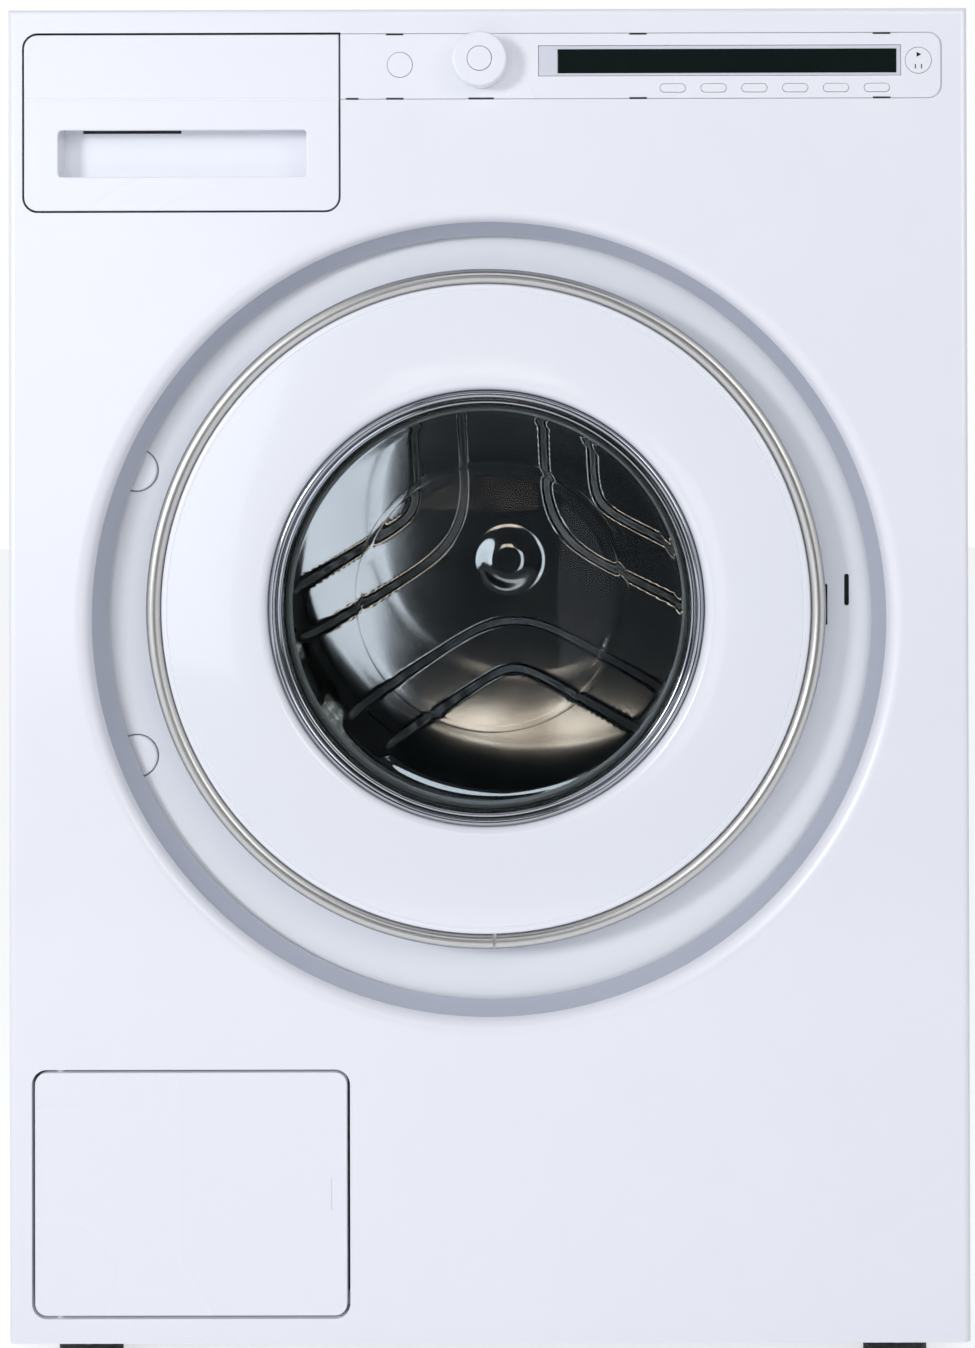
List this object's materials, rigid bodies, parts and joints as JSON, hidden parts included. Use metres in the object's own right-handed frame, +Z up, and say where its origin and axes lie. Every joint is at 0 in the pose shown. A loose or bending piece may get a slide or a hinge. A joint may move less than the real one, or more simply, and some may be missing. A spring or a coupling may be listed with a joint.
{
  "type": "front-loading washing machine",
  "caption": "Free-standing front-loading washing machine with a round glass door, detergent drawer, programme knob, display strip and service flap.",
  "frame": {"origin": "centre of the bounding box's underside, on the floor between the feet", "axes": "+Z up, +X to the right as seen from the front, +Y from the front to the back; the door faces -Y"},
  "size_m": [0.595, 0.585, 0.85],
  "materials": {
    "white_enamel": "gloss white stove enamel",
    "white_plastic": "gloss white moulding",
    "pale_ring": "pale blue-white satin moulding",
    "brushed_steel": "fine circular brushing",
    "bright_chrome": "polished",
    "drum_steel": "polished stainless sheet",
    "zinc_steel": "zinc coated sheet",
    "dark_glass": "dark display window",
    "clear_glass": "clear pressed glass",
    "grey_rubber": "grey matt rubber",
    "black_rubber": "black matt rubber",
    "black_plastic": "black moulding",
    "grey_plastic": "light grey moulding",
    "circuit_board": "green laminate",
    "cast_aluminium": "as cast",
    "concrete": "cast concrete"
  },
  "bodies": {
    "cabinet": {"front_panel": "white_enamel", "left_side_panel": "white_enamel", "right_side_panel": "white_enamel", "back_panel": "zinc_steel", "top_panel": "white_enamel", "base_plate": "zinc_steel", "shock_cylinder_left_front": "zinc_steel", "shock_cylinder_left_rear": "zinc_steel", "shock_cylinder_right_front": "zinc_steel", "shock_cylinder_right_rear": "zinc_steel", "control_panel": "white_plastic", "display_window": "dark_glass", "control_board": "circuit_board", "dispenser_housing": "grey_plastic", "inlet_valve": "black_plastic", "drain_pump": "black_plastic", "drain_outlet": "grey_plastic", "cable_gland": "black_plastic", "sump_hose": "grey_rubber"},
    "tub": {"outer_tub": "zinc_steel", "tub_front_cover": "zinc_steel", "surround_ring": "pale_ring", "tub_cradle": "zinc_steel", "counterweight": "concrete", "bearing_housing": "cast_aluminium", "front_bearing": "zinc_steel", "rear_bearing": "zinc_steel", "heater_element": "zinc_steel", "motor": "cast_aluminium", "drive_belt": "black_rubber", "door_lock": "black_plastic", "hinge_pin": "zinc_steel"},
    "drum": {"drum_shell": "drum_steel", "drum_shaft": "cast_aluminium", "drum_pulley": "cast_aluminium"},
    "motor_rotor": {"motor_pulley": "zinc_steel"},
    "door": {"door_frame": "white_plastic", "door_trim_ring": "brushed_steel", "window_rim": "bright_chrome", "door_glass": "clear_glass", "door_seal": "grey_rubber", "latch_hook": "zinc_steel"},
    "drawer": {"drawer_front": "white_plastic", "drawer_tray": "grey_plastic"},
    "flap": {"service_flap": "white_plastic"},
    "filter_cap": {"pump_filter": "white_plastic"},
    "knob": {"programme_knob": "white_plastic"},
    "knob_centre": {"knob_button": "white_plastic"},
    "power_key": {"power_button": "white_plastic"},
    "start_key": {"start_button": "white_plastic"},
    "option_key_1": {"option_button_1": "white_plastic"},
    "option_key_2": {"option_button_2": "white_plastic"},
    "option_key_3": {"option_button_3": "white_plastic"},
    "option_key_4": {"option_button_4": "white_plastic"},
    "option_key_5": {"option_button_5": "white_plastic"},
    "option_key_6": {"option_button_6": "white_plastic"},
    "levelling_foot_left_front": {"foot_left_front": "black_rubber"},
    "levelling_foot_left_rear": {"foot_left_rear": "black_rubber"},
    "levelling_foot_right_front": {"foot_right_front": "black_rubber"},
    "levelling_foot_right_rear": {"foot_right_rear": "black_rubber"}
  },
  "joints": [
    {"name": "tub_suspension", "type": "slide", "parent": "cabinet", "child": "tub", "axis": [0, 0, 1], "range_m": [-0.008, 0.008], "stiffness_N_per_m": 11000, "springref_m": 0.06548, "deforming": ["sump_hose"]},
    {"name": "drum_spin", "type": "hinge", "parent": "tub", "child": "drum", "pos_m": [-0.0018, -0.0131, 0.4775], "axis": [0, 1, 0], "continuous": true},
    {"name": "motor_spin", "type": "hinge", "parent": "tub", "child": "motor_rotor", "pos_m": [0.0602, 0.2099, 0.1415], "axis": [0, 1, 0], "continuous": true},
    {"name": "door_hinge", "type": "hinge", "parent": "tub", "child": "door", "pos_m": [-0.2048, -0.2621, 0.4775], "axis": [0, 0, -1], "range_deg": [0, 105]},
    {"name": "drawer_slide", "type": "slide", "parent": "cabinet", "child": "drawer", "axis": [0, -1, 0], "range_m": [0, 0.2]},
    {"name": "flap_hinge", "type": "hinge", "parent": "cabinet", "child": "flap", "pos_m": [-0.266, -0.2701, 0.117], "axis": [0, 0, -1], "range_deg": [0, 100]},
    {"name": "filter_turn", "type": "hinge", "parent": "cabinet", "child": "filter_cap", "pos_m": [-0.185, -0.2161, 0.115], "axis": [0, -1, 0], "range_deg": [0, 90]},
    {"name": "knob_turn", "type": "hinge", "parent": "cabinet", "child": "knob", "pos_m": [-0.004, -0.2761, 0.817], "axis": [0, 1, 0], "continuous": true},
    {"name": "knob_centre_press", "type": "slide", "parent": "knob", "child": "knob_centre", "axis": [0, 1, 0], "range_m": [0, 0.0015], "stiffness_N_per_m": 300},
    {"name": "power_press", "type": "slide", "parent": "cabinet", "child": "power_key", "axis": [0, 1, 0], "range_m": [0, 0.0015], "stiffness_N_per_m": 300},
    {"name": "start_press", "type": "slide", "parent": "cabinet", "child": "start_key", "axis": [0, 1, 0], "range_m": [0, 0.0015], "stiffness_N_per_m": 300},
    {"name": "option_press_1", "type": "slide", "parent": "cabinet", "child": "option_key_1", "axis": [0, 1, 0], "range_m": [0, 0.0015], "stiffness_N_per_m": 300},
    {"name": "option_press_2", "type": "slide", "parent": "cabinet", "child": "option_key_2", "axis": [0, 1, 0], "range_m": [0, 0.0015], "stiffness_N_per_m": 300},
    {"name": "option_press_3", "type": "slide", "parent": "cabinet", "child": "option_key_3", "axis": [0, 1, 0], "range_m": [0, 0.0015], "stiffness_N_per_m": 300},
    {"name": "option_press_4", "type": "slide", "parent": "cabinet", "child": "option_key_4", "axis": [0, 1, 0], "range_m": [0, 0.0015], "stiffness_N_per_m": 300},
    {"name": "option_press_5", "type": "slide", "parent": "cabinet", "child": "option_key_5", "axis": [0, 1, 0], "range_m": [0, 0.0015], "stiffness_N_per_m": 300},
    {"name": "option_press_6", "type": "slide", "parent": "cabinet", "child": "option_key_6", "axis": [0, 1, 0], "range_m": [0, 0.0015], "stiffness_N_per_m": 300},
    {"name": "foot_turn_left_front", "type": "hinge", "parent": "cabinet", "child": "levelling_foot_left_front", "pos_m": [-0.2555, -0.2301, 0.02], "axis": [0, 0, 1], "continuous": true},
    {"name": "foot_turn_left_rear", "type": "hinge", "parent": "cabinet", "child": "levelling_foot_left_rear", "pos_m": [-0.2555, 0.2379, 0.02], "axis": [0, 0, 1], "continuous": true},
    {"name": "foot_turn_right_front", "type": "hinge", "parent": "cabinet", "child": "levelling_foot_right_front", "pos_m": [0.2555, -0.2301, 0.02], "axis": [0, 0, 1], "continuous": true},
    {"name": "foot_turn_right_rear", "type": "hinge", "parent": "cabinet", "child": "levelling_foot_right_rear", "pos_m": [0.2555, 0.2379, 0.02], "axis": [0, 0, 1], "continuous": true}
  ],
  "couplings": [
    {"joint": "motor_spin", "follows": "drum_spin", "ratio": 11.5}
  ]
}
